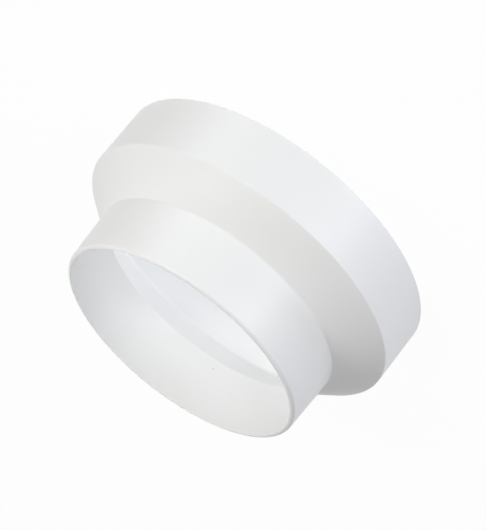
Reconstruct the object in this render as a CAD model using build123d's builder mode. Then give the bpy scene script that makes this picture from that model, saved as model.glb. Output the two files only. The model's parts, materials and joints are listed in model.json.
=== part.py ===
from build123d import *
from math import atan2, tan
import os

# Duct reducer: one thin moulded shell, open at both ends, that joins a wide round duct to a
# narrow one. Along +Z it is a straight wide spigot, a conical shoulder and a narrow spigot.
# All sizes are millimetres. The origin is the centre of the wide mouth, which it stands on.

# Driving dimensions
large_spigot_dia = 159.0  # outside of the wide spigot, a loose fit in a 160 duct
large_spigot_length = 28.8  # wide mouth to the outer edge of the shoulder
shoulder_height = 15.6  # climb of the cone along the axis
small_spigot_dia = 123.4  # outside of the narrow spigot at its root, for a 125 duct
small_spigot_length = 28.6  # foot of the cone to the narrow mouth
seat_length = 8.0  # straight part of the narrow spigot, next to the cone
lead_in = 0.8  # how much the narrow spigot's radius shrinks from its seat to its mouth
wall = 2.0  # thickness of the shell
large_rim_round = 0.4  # both edges of the wide mouth
small_rim_land = 0.2  # flat ring on the narrow mouth, between its two roundings
small_rim_inner_round = 0.2  # inner edge of the narrow mouth
shoulder_round = 0.9  # outer edge where the wide spigot turns into the cone
neck_round = 1.0  # outer corner where the cone turns into the narrow spigot
heel_round = 3.0  # inner corner where the wide bore turns into the cone
throat_round = 0.6  # inner edge where the cone turns into the narrow bore

# Outer skin: radii, and heights above the wide mouth
large_radius = large_spigot_dia / 2
small_radius = small_spigot_dia / 2
mouth_radius = small_radius - lead_in
shoulder_z = large_spigot_length
neck_z = shoulder_z + shoulder_height
seat_z = neck_z + seat_length
top_z = neck_z + small_spigot_length

# The narrow mouth's outer rounding takes what the land and the inner rounding leave of the wall
small_rim_round = wall - small_rim_land - small_rim_inner_round

# The inner skin lies one wall inside the outer one. Where the shell bends into and out of the
# cone, its inner corner is lower than the outer one by the wall times the tangent of half the bend.
cone_angle = atan2(large_radius - small_radius, shoulder_height)
bend_drop = wall * tan(cone_angle / 2)

# Corners of the half section as (radius, height), each with the rounding that it gets. The seat
# and the lead-in meet at a bend too slight to round.
section_corners = [
    ((large_radius - wall, 0), large_rim_round),
    ((large_radius, 0), large_rim_round),
    ((large_radius, shoulder_z), shoulder_round),
    ((small_radius, neck_z), neck_round),
    ((small_radius, seat_z), 0),
    ((mouth_radius, top_z), small_rim_round),
    ((mouth_radius - wall, top_z), small_rim_inner_round),
    ((small_radius - wall, seat_z), 0),
    ((small_radius - wall, neck_z - bend_drop), throat_round),
    ((large_radius - wall, shoulder_z - bend_drop), heel_round),
]

# The whole shell is the half section turned once round the axis
with BuildPart() as reducer_body:
    with BuildSketch(Plane.XZ):
        with BuildLine():
            FilletPolyline(
                *[corner for corner, rounding in section_corners],
                radius=[rounding for corner, rounding in section_corners],
                close=True,
            )
        make_face()
    revolve(axis=Axis.Z)

reducer_body.part.label = "reducer_body"
os.makedirs("parts", exist_ok=True)
export_step(reducer_body.part, "parts/reducer_body.step")
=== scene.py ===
# %% [markdown]
# # A round duct reducer in white plastic
# The real thing is one moulding: a short wide spigot, a conical shoulder and a short narrow spigot, all
# of one thin wall. This lesson models that wall ring by ring, rounds its edges, gives it a moulded white
# plastic and stands it on a white scrim, with soft studio lamps above and below.

# %% Load the frame
import json
import math

import bpy
from mathutils import Matrix, Vector


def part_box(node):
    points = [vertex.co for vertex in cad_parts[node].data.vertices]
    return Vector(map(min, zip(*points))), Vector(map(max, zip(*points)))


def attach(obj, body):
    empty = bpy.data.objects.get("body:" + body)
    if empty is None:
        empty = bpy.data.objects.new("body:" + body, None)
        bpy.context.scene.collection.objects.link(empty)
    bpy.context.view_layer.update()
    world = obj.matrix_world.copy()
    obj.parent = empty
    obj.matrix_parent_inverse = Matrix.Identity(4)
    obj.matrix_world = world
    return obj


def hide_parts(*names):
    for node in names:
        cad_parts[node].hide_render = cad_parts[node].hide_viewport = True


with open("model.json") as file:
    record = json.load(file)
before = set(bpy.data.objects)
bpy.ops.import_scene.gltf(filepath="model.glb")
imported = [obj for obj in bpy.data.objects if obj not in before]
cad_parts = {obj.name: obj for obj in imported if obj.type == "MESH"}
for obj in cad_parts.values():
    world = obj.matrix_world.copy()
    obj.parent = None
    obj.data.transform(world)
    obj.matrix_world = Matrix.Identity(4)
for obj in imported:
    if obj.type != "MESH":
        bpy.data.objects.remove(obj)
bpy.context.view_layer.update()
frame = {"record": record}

# %% [markdown]
# ## The wall in section
# On the real part every size follows from its two duct diameters, the wall and a few lengths. The radii
# could be typed in again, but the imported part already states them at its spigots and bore, so they are
# read from there and cannot drift. Blender works in metres and the drawing in millimetres: `mm` turns
# one into the other. Inside, the cone starts and ends a little lower than outside, by the wall times the
# tangent of half the bend, so that the wall is even all the way.

# %% Sizes of the wall
def mm(value):
    """Metres from millimetres."""
    return value / 1000


mounts = {mount["name"]: mount["dims"] for mount in frame["record"]["mounts"]}
large_radius = mm(mounts["large_spigot"]["r_mm"])
small_radius = mm(mounts["small_spigot"]["r_mm"])
wall = large_radius - mm(mounts["large_bore"]["r_mm"])
large_spigot_length = mm(28.8)
shoulder_height = mm(15.6)
seat_length = mm(8.0)
lead_in = mm(0.8)
mouth_radius = small_radius - lead_in
shoulder_z = large_spigot_length
neck_z = shoulder_z + shoulder_height
seat_z = neck_z + seat_length
top_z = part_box("reducer_body")[1].z
cone_angle = math.atan2(large_radius - small_radius, shoulder_height)
bend_drop = wall * math.tan(cone_angle / 2)
print("spigot radii", large_radius, small_radius, "wall", wall, "height", top_z)

# %% [markdown]
# ## Corners of the section
# The narrow spigot has a plain seat at its foot, and above it a slight lead-in, so that a pipe slides
# on. Each corner of the half section becomes a ring on the finished shell. It has a radius, a height,
# the angle that the wall turns there and the rounding that the mould gives that edge. One list of
# corners serves both steps that follow, so the rings and their rounding always agree.

# %% List the corners
square = math.radians(90)
large_rim_round = mm(0.4)
shoulder_round = mm(0.9)
neck_round = mm(1.0)
small_rim_round = mm(1.6)
small_rim_inner_round = mm(0.2)
throat_round = mm(0.6)
heel_round = mm(3.0)
section = [
    (large_radius - wall, 0.0, square, large_rim_round),
    (large_radius, 0.0, square, large_rim_round),
    (large_radius, shoulder_z, cone_angle, shoulder_round),
    (small_radius, neck_z, cone_angle, neck_round),
    (small_radius, seat_z, 0.0, 0.0),
    (mouth_radius, top_z, square, small_rim_round),
    (mouth_radius - wall, top_z, square, small_rim_inner_round),
    (small_radius - wall, seat_z, 0.0, 0.0),
    (small_radius - wall, neck_z - bend_drop, cone_angle, throat_round),
    (large_radius - wall, shoulder_z - bend_drop, cone_angle, heel_round),
]
print("corners", len(section), "cone angle", round(math.degrees(cone_angle), 1))

# %% [markdown]
# ## The shell
# The wall is a body of revolution, and the spin tool could sweep the section round in one go. Extruding
# a circle from ring to ring gives the same surface without a seam to merge, and it shows each step:
# extrude straight up or down, then resize the new ring about the axis.

# %% Raise the rings, from the wide bore out, up and back inside
steps_round = 240


def extrude_ring(old, new):
    """Extrudes the selected ring from one corner of the section to the next."""
    old_radius, old_height = old[:2]
    new_radius, new_height = new[:2]
    bpy.ops.mesh.extrude_region_move(TRANSFORM_OT_translate={"value": (0, 0, new_height - old_height)})
    grow = new_radius / old_radius
    bpy.ops.transform.resize(value=(grow, grow, 1), center_override=(0, 0, new_height))


bpy.ops.object.select_all(action="DESELECT")
bpy.ops.mesh.primitive_circle_add(vertices=steps_round, radius=section[0][0], location=(0, 0, 0))
shell = bpy.context.object
shell.name = "reducer_shell"
bpy.ops.object.mode_set(mode="EDIT")
bpy.ops.mesh.select_mode(type="EDGE")
bpy.ops.mesh.select_all(action="SELECT")
for old, new in zip(section, section[1:]):
    extrude_ring(old, new)
print("rings raised", len(section))

# %% [markdown]
# ## Closing the wall
# The last ring is the inner corner under the shoulder, and the first one is the mouth of the wide bore.
# Bridging the two makes the bore's face and closes the wall all round. Only a closed shell has a clear
# inside, so the normals are turned outwards here and not before.

# %% Bridge the wide bore
def select_edges(wanted):
    """Selects the edges of the shell whose two ends pass the test."""
    bpy.ops.mesh.select_all(action="DESELECT")
    bpy.ops.object.mode_set(mode="OBJECT")
    for edge in shell.data.edges:
        edge.select = all(wanted(shell.data.vertices[end].co) for end in edge.vertices)
    bpy.ops.object.mode_set(mode="EDIT")


def on_ring(corner):
    """A test for points that lie on one corner of the section."""
    radius, height = corner[:2]
    near = mm(0.05)
    return lambda co: abs(co.z - height) < near and abs(math.hypot(co.x, co.y) - radius) < near


first_ring = on_ring(section[0])
last_ring = on_ring(section[-1])
select_edges(lambda co: first_ring(co) or last_ring(co))
bpy.ops.mesh.bridge_edge_loops()
bpy.ops.mesh.select_all(action="SELECT")
bpy.ops.mesh.normals_make_consistent(inside=False)
shell.update_from_editmode()
print("faces in the closed wall", len(shell.data.polygons))

# %% [markdown]
# ## Rounded edges
# Moulds are cut with round tools, and plastic does not fill a knife edge, so each corner of the real
# part is a small arc that catches a line of light. A bevel modifier would give all of them one width.
# The bevel operator takes each ring with its own: it reaches back along both walls by the arc's radius
# times the tangent of half the turn.

# %% Round every corner
arc_steps = 5
for corner in section:
    turn, rounding = corner[2:]
    if rounding == 0.0:
        continue
    select_edges(on_ring(corner))
    bpy.ops.mesh.bevel(
        offset_type="OFFSET",
        offset=rounding * math.tan(turn / 2),
        segments=arc_steps,
        profile=0.5,
        affect="EDGES",
    )
bpy.ops.object.mode_set(mode="OBJECT")
print("faces with the roundings", len(shell.data.polygons))

# %% [markdown]
# ## Smooth shading
# The moulding has no facets. Smooth shading alone would let the narrow arcs tilt the shading of the tall
# walls beside them. Weighted normals let the larger face decide, so the walls shade straight and only
# the arcs turn.

# %% Shade the shell
bpy.ops.object.shade_smooth()
bpy.ops.object.modifier_add(type="WEIGHTED_NORMAL")
bpy.ops.object.modifier_apply(modifier=shell.modifiers[-1].name)
print("shell", shell.name, "vertices", len(shell.data.vertices))

# %% [markdown]
# ## Colours and nodes
# Colours are written as sRGB hex, as a colour picker shows them, and one function turns them linear. A
# second one starts an empty material, and a third adds any node with its settings, its values and its
# links, so that a material below reads as a list of what it is made of.

# %% Helpers for materials
def colour(hex_code):
    """Linear RGBA from an sRGB hex code."""
    channels = [int(hex_code[i : i + 2], 16) / 255 for i in (1, 3, 5)]
    linear = [c / 12.92 if c <= 0.04045 else ((c + 0.055) / 1.055) ** 2.4 for c in channels]
    return (*linear, 1.0)


def new_material(name):
    """A node material with nothing in it but its output."""
    material = bpy.data.materials.new(name)
    material.use_nodes = True
    material.node_tree.nodes.clear()
    output = material.node_tree.nodes.new("ShaderNodeOutputMaterial")
    return material, output


def add_node(tree, kind, settings=None, values=None, links=None):
    """Adds a node: its settings, the values of its sockets and what is linked into them."""
    node = tree.nodes.new(kind)
    for name, value in (settings or {}).items():
        setattr(node, name, value)
    for name, value in (values or {}).items():
        node.inputs[name].default_value = value
    for name, socket in (links or {}).items():
        tree.links.new(socket, node.inputs[name])
    return node


print("plain white is", colour("#FFFFFF"))

# %% [markdown]
# ## The white of the plastic
# Duct fittings of this kind are injection moulded in white ABS. The melt leaves soft clouds, a shade
# apart, that give the white some depth. Noise on Object coordinates makes them: it is fixed to the part
# at a real size and needs no unwrapping.

# %% Tone of the melt
plastic, plastic_output = new_material("injection_moulded_white_abs")
tree = plastic.node_tree
place = add_node(tree, "ShaderNodeTexCoord").outputs["Object"]
cloud_size = mm(30)
pale_white = colour("#EAEAE8")
dull_white = colour("#E7E7E5")
clouds = add_node(
    tree,
    "ShaderNodeTexNoise",
    values={"Scale": 1 / cloud_size, "Detail": 2.0},
    links={"Vector": place},
)
# The colour sockets of a mix node: its two colours, and its result.
mix_a, mix_b, mix_result = 6, 7, 2
tone = add_node(
    tree,
    "ShaderNodeMix",
    {"data_type": "RGBA"},
    values={mix_a: pale_white, mix_b: dull_white},
    links={"Factor": clouds.outputs["Fac"]},
)
print("clouds every", cloud_size)

# %% [markdown]
# ## A fleck in the narrow bore
# One grey fleck of scorched resin sits in the wall of the narrow bore. It could be a disc of its own,
# but it has no thickness, so it belongs to the colour. A mapping node moves the origin to the fleck,
# turns it to the fleck's slant and shrinks it to the fleck's half axes. There the distance from the
# origin is one at the fleck's edge: the fleck is full up to half of that and has faded out a bit beyond.

# %% Fleck
fleck_azimuth = math.radians(109.05)
fleck_slant = math.radians(-34)
fleck_z = mm(48.2)
fleck_half_axes = (mm(0.6), mm(0.65), mm(0.35))
fleck_full = 0.5
fleck_gone = 1.3
scorched_grey = colour("#CFCFCB")
bore_radius = small_radius - wall
fleck_place = (bore_radius * math.cos(fleck_azimuth), bore_radius * math.sin(fleck_azimuth), fleck_z)
fleck_frame = add_node(
    tree,
    "ShaderNodeMapping",
    {"vector_type": "TEXTURE"},
    values={
        "Location": fleck_place,
        "Rotation": (fleck_slant, 0, fleck_azimuth),
        "Scale": fleck_half_axes,
    },
    links={"Vector": place},
)
fleck_reach = add_node(
    tree,
    "ShaderNodeVectorMath",
    {"operation": "LENGTH"},
    links={"Vector": fleck_frame.outputs["Vector"]},
)
fleck_depth = add_node(
    tree,
    "ShaderNodeMapRange",
    {"interpolation_type": "SMOOTHSTEP"},
    values={"From Min": fleck_full, "From Max": fleck_gone, "To Min": 1.0, "To Max": 0.0},
    links={"Value": fleck_reach.outputs["Value"]},
)
flecked_tone = add_node(
    tree,
    "ShaderNodeMix",
    {"data_type": "RGBA"},
    values={mix_b: scorched_grey},
    links={"Factor": fleck_depth.outputs["Result"], mix_a: tone.outputs[mix_result]},
)
print("fleck at", fleck_place)

# %% [markdown]
# ## The satin of the mould
# The steel of the mould is finely blasted, not polished, so each lamp shows on the plastic as a broad
# soft band and never as a mirror light. Two patterns carry that: the roughness wanders a little from
# place to place, and a fine grain breaks up the sheen when seen close. True blasting grit is about
# 0.1 mm, too fine to show here, so the grain is drawn at 0.6 mm.

# %% Sheen and grain
patch_size = mm(9)
smoothest = 0.39
roughest = 0.45
grain_size = mm(0.6)
grain_height = mm(0.01)
grain_strength = 0.25
polish = add_node(
    tree,
    "ShaderNodeTexNoise",
    values={"Scale": 1 / patch_size, "Detail": 3.0},
    links={"Vector": place},
)
satin = add_node(
    tree,
    "ShaderNodeMapRange",
    values={"To Min": smoothest, "To Max": roughest},
    links={"Value": polish.outputs["Fac"]},
)
grain = add_node(
    tree,
    "ShaderNodeTexNoise",
    values={"Scale": 1 / grain_size, "Detail": 2.0},
    links={"Vector": place},
)
relief = add_node(
    tree,
    "ShaderNodeBump",
    values={"Strength": grain_strength, "Distance": grain_height},
    links={"Height": grain.outputs["Fac"]},
)
print("roughness", smoothest, "to", roughest, "in patches of", patch_size, "grain", grain_size)

# %% [markdown]
# ## The finished plastic
# One principled shader takes the tone, the sheen and the grain. ABS bends light with an index of 1.53,
# which sets how strong the sheen is. The shell then takes the material, rides on the part's one body
# and stands for the plain solid, which stays hidden at the same place.

# %% Shader, and the shell in its place
abs_index = 1.53
plastic_shader = add_node(
    tree,
    "ShaderNodeBsdfPrincipled",
    values={"IOR": abs_index},
    links={
        "Base Color": flecked_tone.outputs[mix_result],
        "Roughness": satin.outputs["Result"],
        "Normal": relief.outputs["Normal"],
    },
)
tree.links.new(plastic_shader.outputs["BSDF"], plastic_output.inputs["Surface"])
shell.data.materials.append(plastic)
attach(shell, "root")
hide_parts("reducer_body")
print("plastic", plastic.name, "nodes", len(tree.nodes))

# %% [markdown]
# ## What shows as white
# The surroundings have to look white, yet a white room would light the part from all sides and wash its
# shading out. So floor and room show white only to rays that come straight from the camera, off a gloss
# or through clear material. Light that has been scattered by a matt surface sees what is really there.

# %% Rays that see white
# The two numbers of a math node share a name, so they are told apart by their place.
number_a, number_b = 0, 1


def seen_directly(tree):
    """One for a ray from the camera, a gloss or a clear material, nought for scattered light."""
    path = tree.nodes.new("ShaderNodeLightPath").outputs
    camera_or_gloss = add_node(
        tree,
        "ShaderNodeMath",
        {"operation": "MAXIMUM"},
        links={number_a: path["Is Camera Ray"], number_b: path["Is Glossy Ray"]},
    )
    any_of_three = add_node(
        tree,
        "ShaderNodeMath",
        {"operation": "MAXIMUM"},
        links={number_a: camera_or_gloss.outputs["Value"], number_b: path["Is Transmission Ray"]},
    )
    return any_of_three.outputs["Value"]


print("white shows to camera, gloss and clear rays")

# %% [markdown]
# ## The floor
# The part stands on a scrim: white gauze stretched flat, as it is hung before studio lamps. Half of the
# light that meets it comes back from its threads, and half goes straight through between them, so lamps
# below it can light the walls and the inside of the duct. An opaque floor would leave the bore dark. To
# the eye the gauze is nearly white, and a small share of its true shading keeps the part's shadow.

# %% Gauze
floor_size = mm(6000)
open_share = 0.5
white_share = 0.92
bpy.ops.object.select_all(action="DESELECT")
bpy.ops.mesh.primitive_plane_add(size=floor_size, location=(0, 0, 0))
floor = bpy.context.object
floor.name = "floor"
gauze, gauze_output = new_material("white_gauze_scrim")
gauze_tree = gauze.node_tree
# The two shaders of a mix share a name too.
shader_share, shader_a, shader_b = 0, 1, 2
threads = add_node(gauze_tree, "ShaderNodeBsdfDiffuse", values={"Color": colour("#F3F3F3")})
gaps = add_node(gauze_tree, "ShaderNodeBsdfTransparent")
weave = add_node(
    gauze_tree,
    "ShaderNodeMixShader",
    values={shader_share: open_share},
    links={shader_a: threads.outputs["BSDF"], shader_b: gaps.outputs["BSDF"]},
)
pure_white = {"Color": colour("#FFFFFF"), "Strength": 1.0}
white = add_node(gauze_tree, "ShaderNodeEmission", values=pure_white)
share = add_node(
    gauze_tree,
    "ShaderNodeMath",
    {"operation": "MULTIPLY"},
    values={number_b: white_share},
    links={number_a: seen_directly(gauze_tree)},
)
shown = add_node(
    gauze_tree,
    "ShaderNodeMixShader",
    links={
        shader_share: share.outputs["Value"],
        shader_a: weave.outputs["Shader"],
        shader_b: white.outputs["Emission"],
    },
)
gauze_tree.links.new(shown.outputs["Shader"], gauze_output.inputs["Surface"])
floor.data.materials.append(gauze)
print("floor", gauze.name)

# %% [markdown]
# ## The room
# Beyond the floor is a plain room. It shows white to the eye in the same way, and otherwise gives a
# weak, faintly rosy fill that keeps the shaded shoulder from turning black.

# %% Fill and backdrop
fill_strength = 0.232
fill_tint = colour("#FFF6F9")
world = bpy.data.worlds.new("studio")
bpy.context.scene.world = world
world.use_nodes = True
room = world.node_tree
room.nodes.clear()
fill = add_node(room, "ShaderNodeBackground", values={"Color": fill_tint, "Strength": fill_strength})
backdrop = add_node(room, "ShaderNodeBackground", values=pure_white)
seen_room = add_node(
    room,
    "ShaderNodeMixShader",
    links={
        shader_share: seen_directly(room),
        shader_a: fill.outputs["Background"],
        shader_b: backdrop.outputs["Background"],
    },
)
add_node(room, "ShaderNodeOutputWorld", links={"Surface": seen_room.outputs["Shader"]})
print("world", world.name, "fill", fill_strength)

# %% [markdown]
# ## Lamps
# Soft boxes stand round the part, some above the scrim and some below it. A lamp below is mirrored in
# the upright walls, because they are looked at from above: the one at the front and the one at the side
# give each wall its two soft bands of sheen. The lamps above light the shoulder and the rims, and two
# more under the wide mouth light the bore. A place on a ball of lamps is easier to think about as an
# angle round the part and an angle up or down, so one function turns these into a position, and a
# second one aims the lamp.

# %% Helpers for lamps
middle = Vector((0, 0, mm(35)))
lamp_distance = mm(1500)
lamp_size = mm(500)


def around(azimuth, elevation):
    """A place at the lamps' distance, by its angle round the part and its angle up."""
    across = lamp_distance * math.cos(math.radians(elevation))
    up = lamp_distance * math.sin(math.radians(elevation))
    bearing = math.radians(azimuth)
    return middle + Vector((across * math.cos(bearing), across * math.sin(bearing), up))


def add_lamp(name, place, aim, size, watts, tint):
    """A square soft lamp, turned towards the point that it lights and hidden from the camera."""
    bpy.ops.object.light_add(type="AREA", location=place)
    lamp = bpy.context.object
    lamp.name = name
    lamp.visible_camera = False
    lamp.data.size = size
    lamp.data.energy = watts
    lamp.data.color = colour(tint)[:3]
    lamp.rotation_euler = (place - aim).to_track_quat("Z", "Y").to_euler()
    print(name, watts, "W")


print("lamps stand", lamp_distance, "from the middle of the part")

# %% [markdown]
# ## Placing the lamps
# Every soft box is the same size, so the list needs only its angles, its power and its tint. Three tints
# are enough: the side lamp is neutral, the others above are daylight and most of those below are cooler,
# because the picture's shaded walls are bluer than its shoulder. The two under the mouth shine straight
# up and have sizes of their own.

# %% Soft boxes above and below the scrim
neutral = "#FFFEFA"
daylight = "#F5FCFF"
cool = "#ECF2FF"
soft_boxes = [
    ("low_front_lamp", -110, 20, 5.4, daylight),
    ("side_lamp", -45, 35, 9.5, neutral),
    ("back_lamp", 45, 55, 5.6, daylight),
    ("front_lamp_below", -120, -18, 10.7, cool),
    ("side_lamp_below", -28, -25, 6, cool),
    ("far_lamp_below", -165, -50, 8.5, cool),
    ("back_lamp_below", 90, -35, 10, neutral),
]
for name, azimuth, elevation, watts, tint in soft_boxes:
    add_lamp(name, around(azimuth, elevation), middle, lamp_size, watts, tint)
mouth_lamps = [
    ("near_lamp_below_mouth", Vector((0, mm(-40), mm(-40))), mm(60), 0.042, cool),
    ("deep_lamp_below_mouth", Vector((0, 0, mm(-300))), mm(300), 0.35, neutral),
]
for name, spot, size, watts, tint in mouth_lamps:
    straight_above = Vector((spot.x, spot.y, 0))
    add_lamp(name, spot, straight_above, size, watts, tint)

# %% [markdown]
# ## Camera
# The picture looks down on the narrow mouth and is turned so that the duct points to the lower corner.
# Elevation, roll, distance and aim could be set by eye; here they are the ones at which the rims, the
# shoulder's edges and the sides fall on the same pixels as in the picture. The focal length is known in
# pixels, and the sensor spans the picture's long side.

# %% Camera
frame_long_side_px = 530
focal_px = 2876.2
sensor_mm = 36
view_elevation = math.radians(24.77)
view_roll = math.radians(-141.2)
view_distance = mm(1294.8)
view_aim = Vector((mm(-0.15), mm(8.98), mm(19.46)))

bpy.ops.object.camera_add()
camera = bpy.context.object
camera.name = "camera"
tilt = Matrix.Rotation(square - view_elevation, 3, "X")
camera_turn = tilt @ Matrix.Rotation(view_roll, 3, "Z")
camera.location = view_aim + camera_turn @ Vector((0, 0, view_distance))
camera.rotation_euler = camera_turn.to_euler()
camera.data.sensor_width = sensor_mm
camera.data.lens = focal_px * sensor_mm / frame_long_side_px
bpy.context.scene.camera = camera
bpy.context.scene.view_settings.view_transform = "Standard"
print("camera at", list(camera.location), "lens", round(camera.data.lens, 1))
